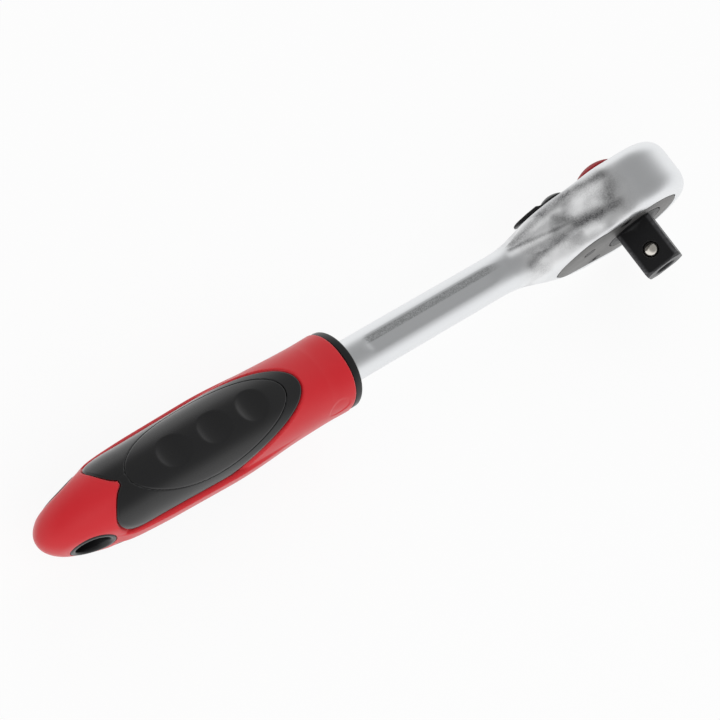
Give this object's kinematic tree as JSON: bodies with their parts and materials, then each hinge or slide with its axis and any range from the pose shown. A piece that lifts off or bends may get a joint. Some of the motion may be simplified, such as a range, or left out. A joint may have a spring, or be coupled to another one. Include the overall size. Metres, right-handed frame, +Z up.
{
  "type": "reversible ratchet",
  "caption": "Reversible ratchet handle: chrome forged head and shank, black square drive with a release ball, push button, reversing lever and a red and black oval grip.",
  "frame": {"origin": "middle of the bottom of the overall box, the tool lying on the side of its head", "axes": "+X runs along the handle to the head, the square drive points to -Y, +Z is up"},
  "size_m": [0.2542, 0.041, 0.0442],
  "materials": {
    "chrome": "satin chrome over a grainy forging",
    "plate_grey": "warm dark grey brushed sheet",
    "black_oxide": "black oxide, satin, worn on the edges",
    "steel": "bright hardened steel",
    "red_plastic": "smooth moulded, glossy",
    "red_grip": "soft matte moulding",
    "black_grip": "soft satin moulding",
    "black_plastic": "hard moulding, satin",
    "lever_black": "black lacquer over a die casting",
    "seal_rubber": "plain rubber ring"
  },
  "bodies": {
    "body": {"ratchet_body": "chrome", "cover_plate": "plate_grey", "cover_screw_upper": "black_oxide", "cover_screw_lower": "black_oxide", "pawl_pin": "steel", "handle_core": "black_plastic", "handle_skin": "red_grip", "grip_panel_upper": "black_grip", "grip_panel_lower": "black_grip", "grip_inset_upper": "black_grip", "grip_inset_lower": "black_grip"},
    "drive": {"drive_gear": "black_oxide", "button_snap_ring": "steel", "release_spring": "steel"},
    "button": {"release_button": "red_plastic", "release_rod": "steel"},
    "ball": {"detent_ball": "steel"},
    "reverser": {"reverser_shaft": "black_oxide", "reversing_lever": "lever_black", "reverser_seal": "seal_rubber", "reverser_spring": "steel"},
    "plunger": {"reverser_plunger": "steel"},
    "pawl": {"pawl": "steel"}
  },
  "joints": [
    {"name": "drive_spin", "type": "hinge", "parent": "body", "child": "drive", "pos_m": [0.105, 0.00465, 0.02211], "axis": [0, 1, 0], "continuous": true},
    {"name": "button_press", "type": "slide", "parent": "drive", "child": "button", "axis": [0, -1, 0], "range_m": [0, 0.0026], "stiffness_N_per_m": 900, "springref_m": -0.002, "deforming": ["release_spring"]},
    {"name": "ball_retract", "type": "slide", "parent": "drive", "child": "ball", "axis": [0.6691, 0, -0.7431], "range_m": [0, 0.00111]},
    {"name": "lever_flip", "type": "hinge", "parent": "body", "child": "reverser", "pos_m": [0.08409, 0.00465, 0.02211], "axis": [0, 1, 0], "range_deg": [-2, 58]},
    {"name": "pawl_rock", "type": "hinge", "parent": "body", "child": "pawl", "pos_m": [0.08909, 0.00465, 0.02211], "axis": [0, 1, 0], "range_deg": [-16, 0]},
    {"name": "plunger_slide", "type": "slide", "parent": "reverser", "child": "plunger", "axis": [-0.8829, 0, -0.4695], "range_m": [0, 0.0006], "stiffness_N_per_m": 400, "springref_m": -0.001, "deforming": ["reverser_spring"]}
  ],
  "couplings": [
    {"joint": "ball_retract", "follows": "button_press", "ratio": 0.42308},
    {"joint": "lever_flip", "follows": "pawl_rock", "ratio": -3.5}
  ]
}
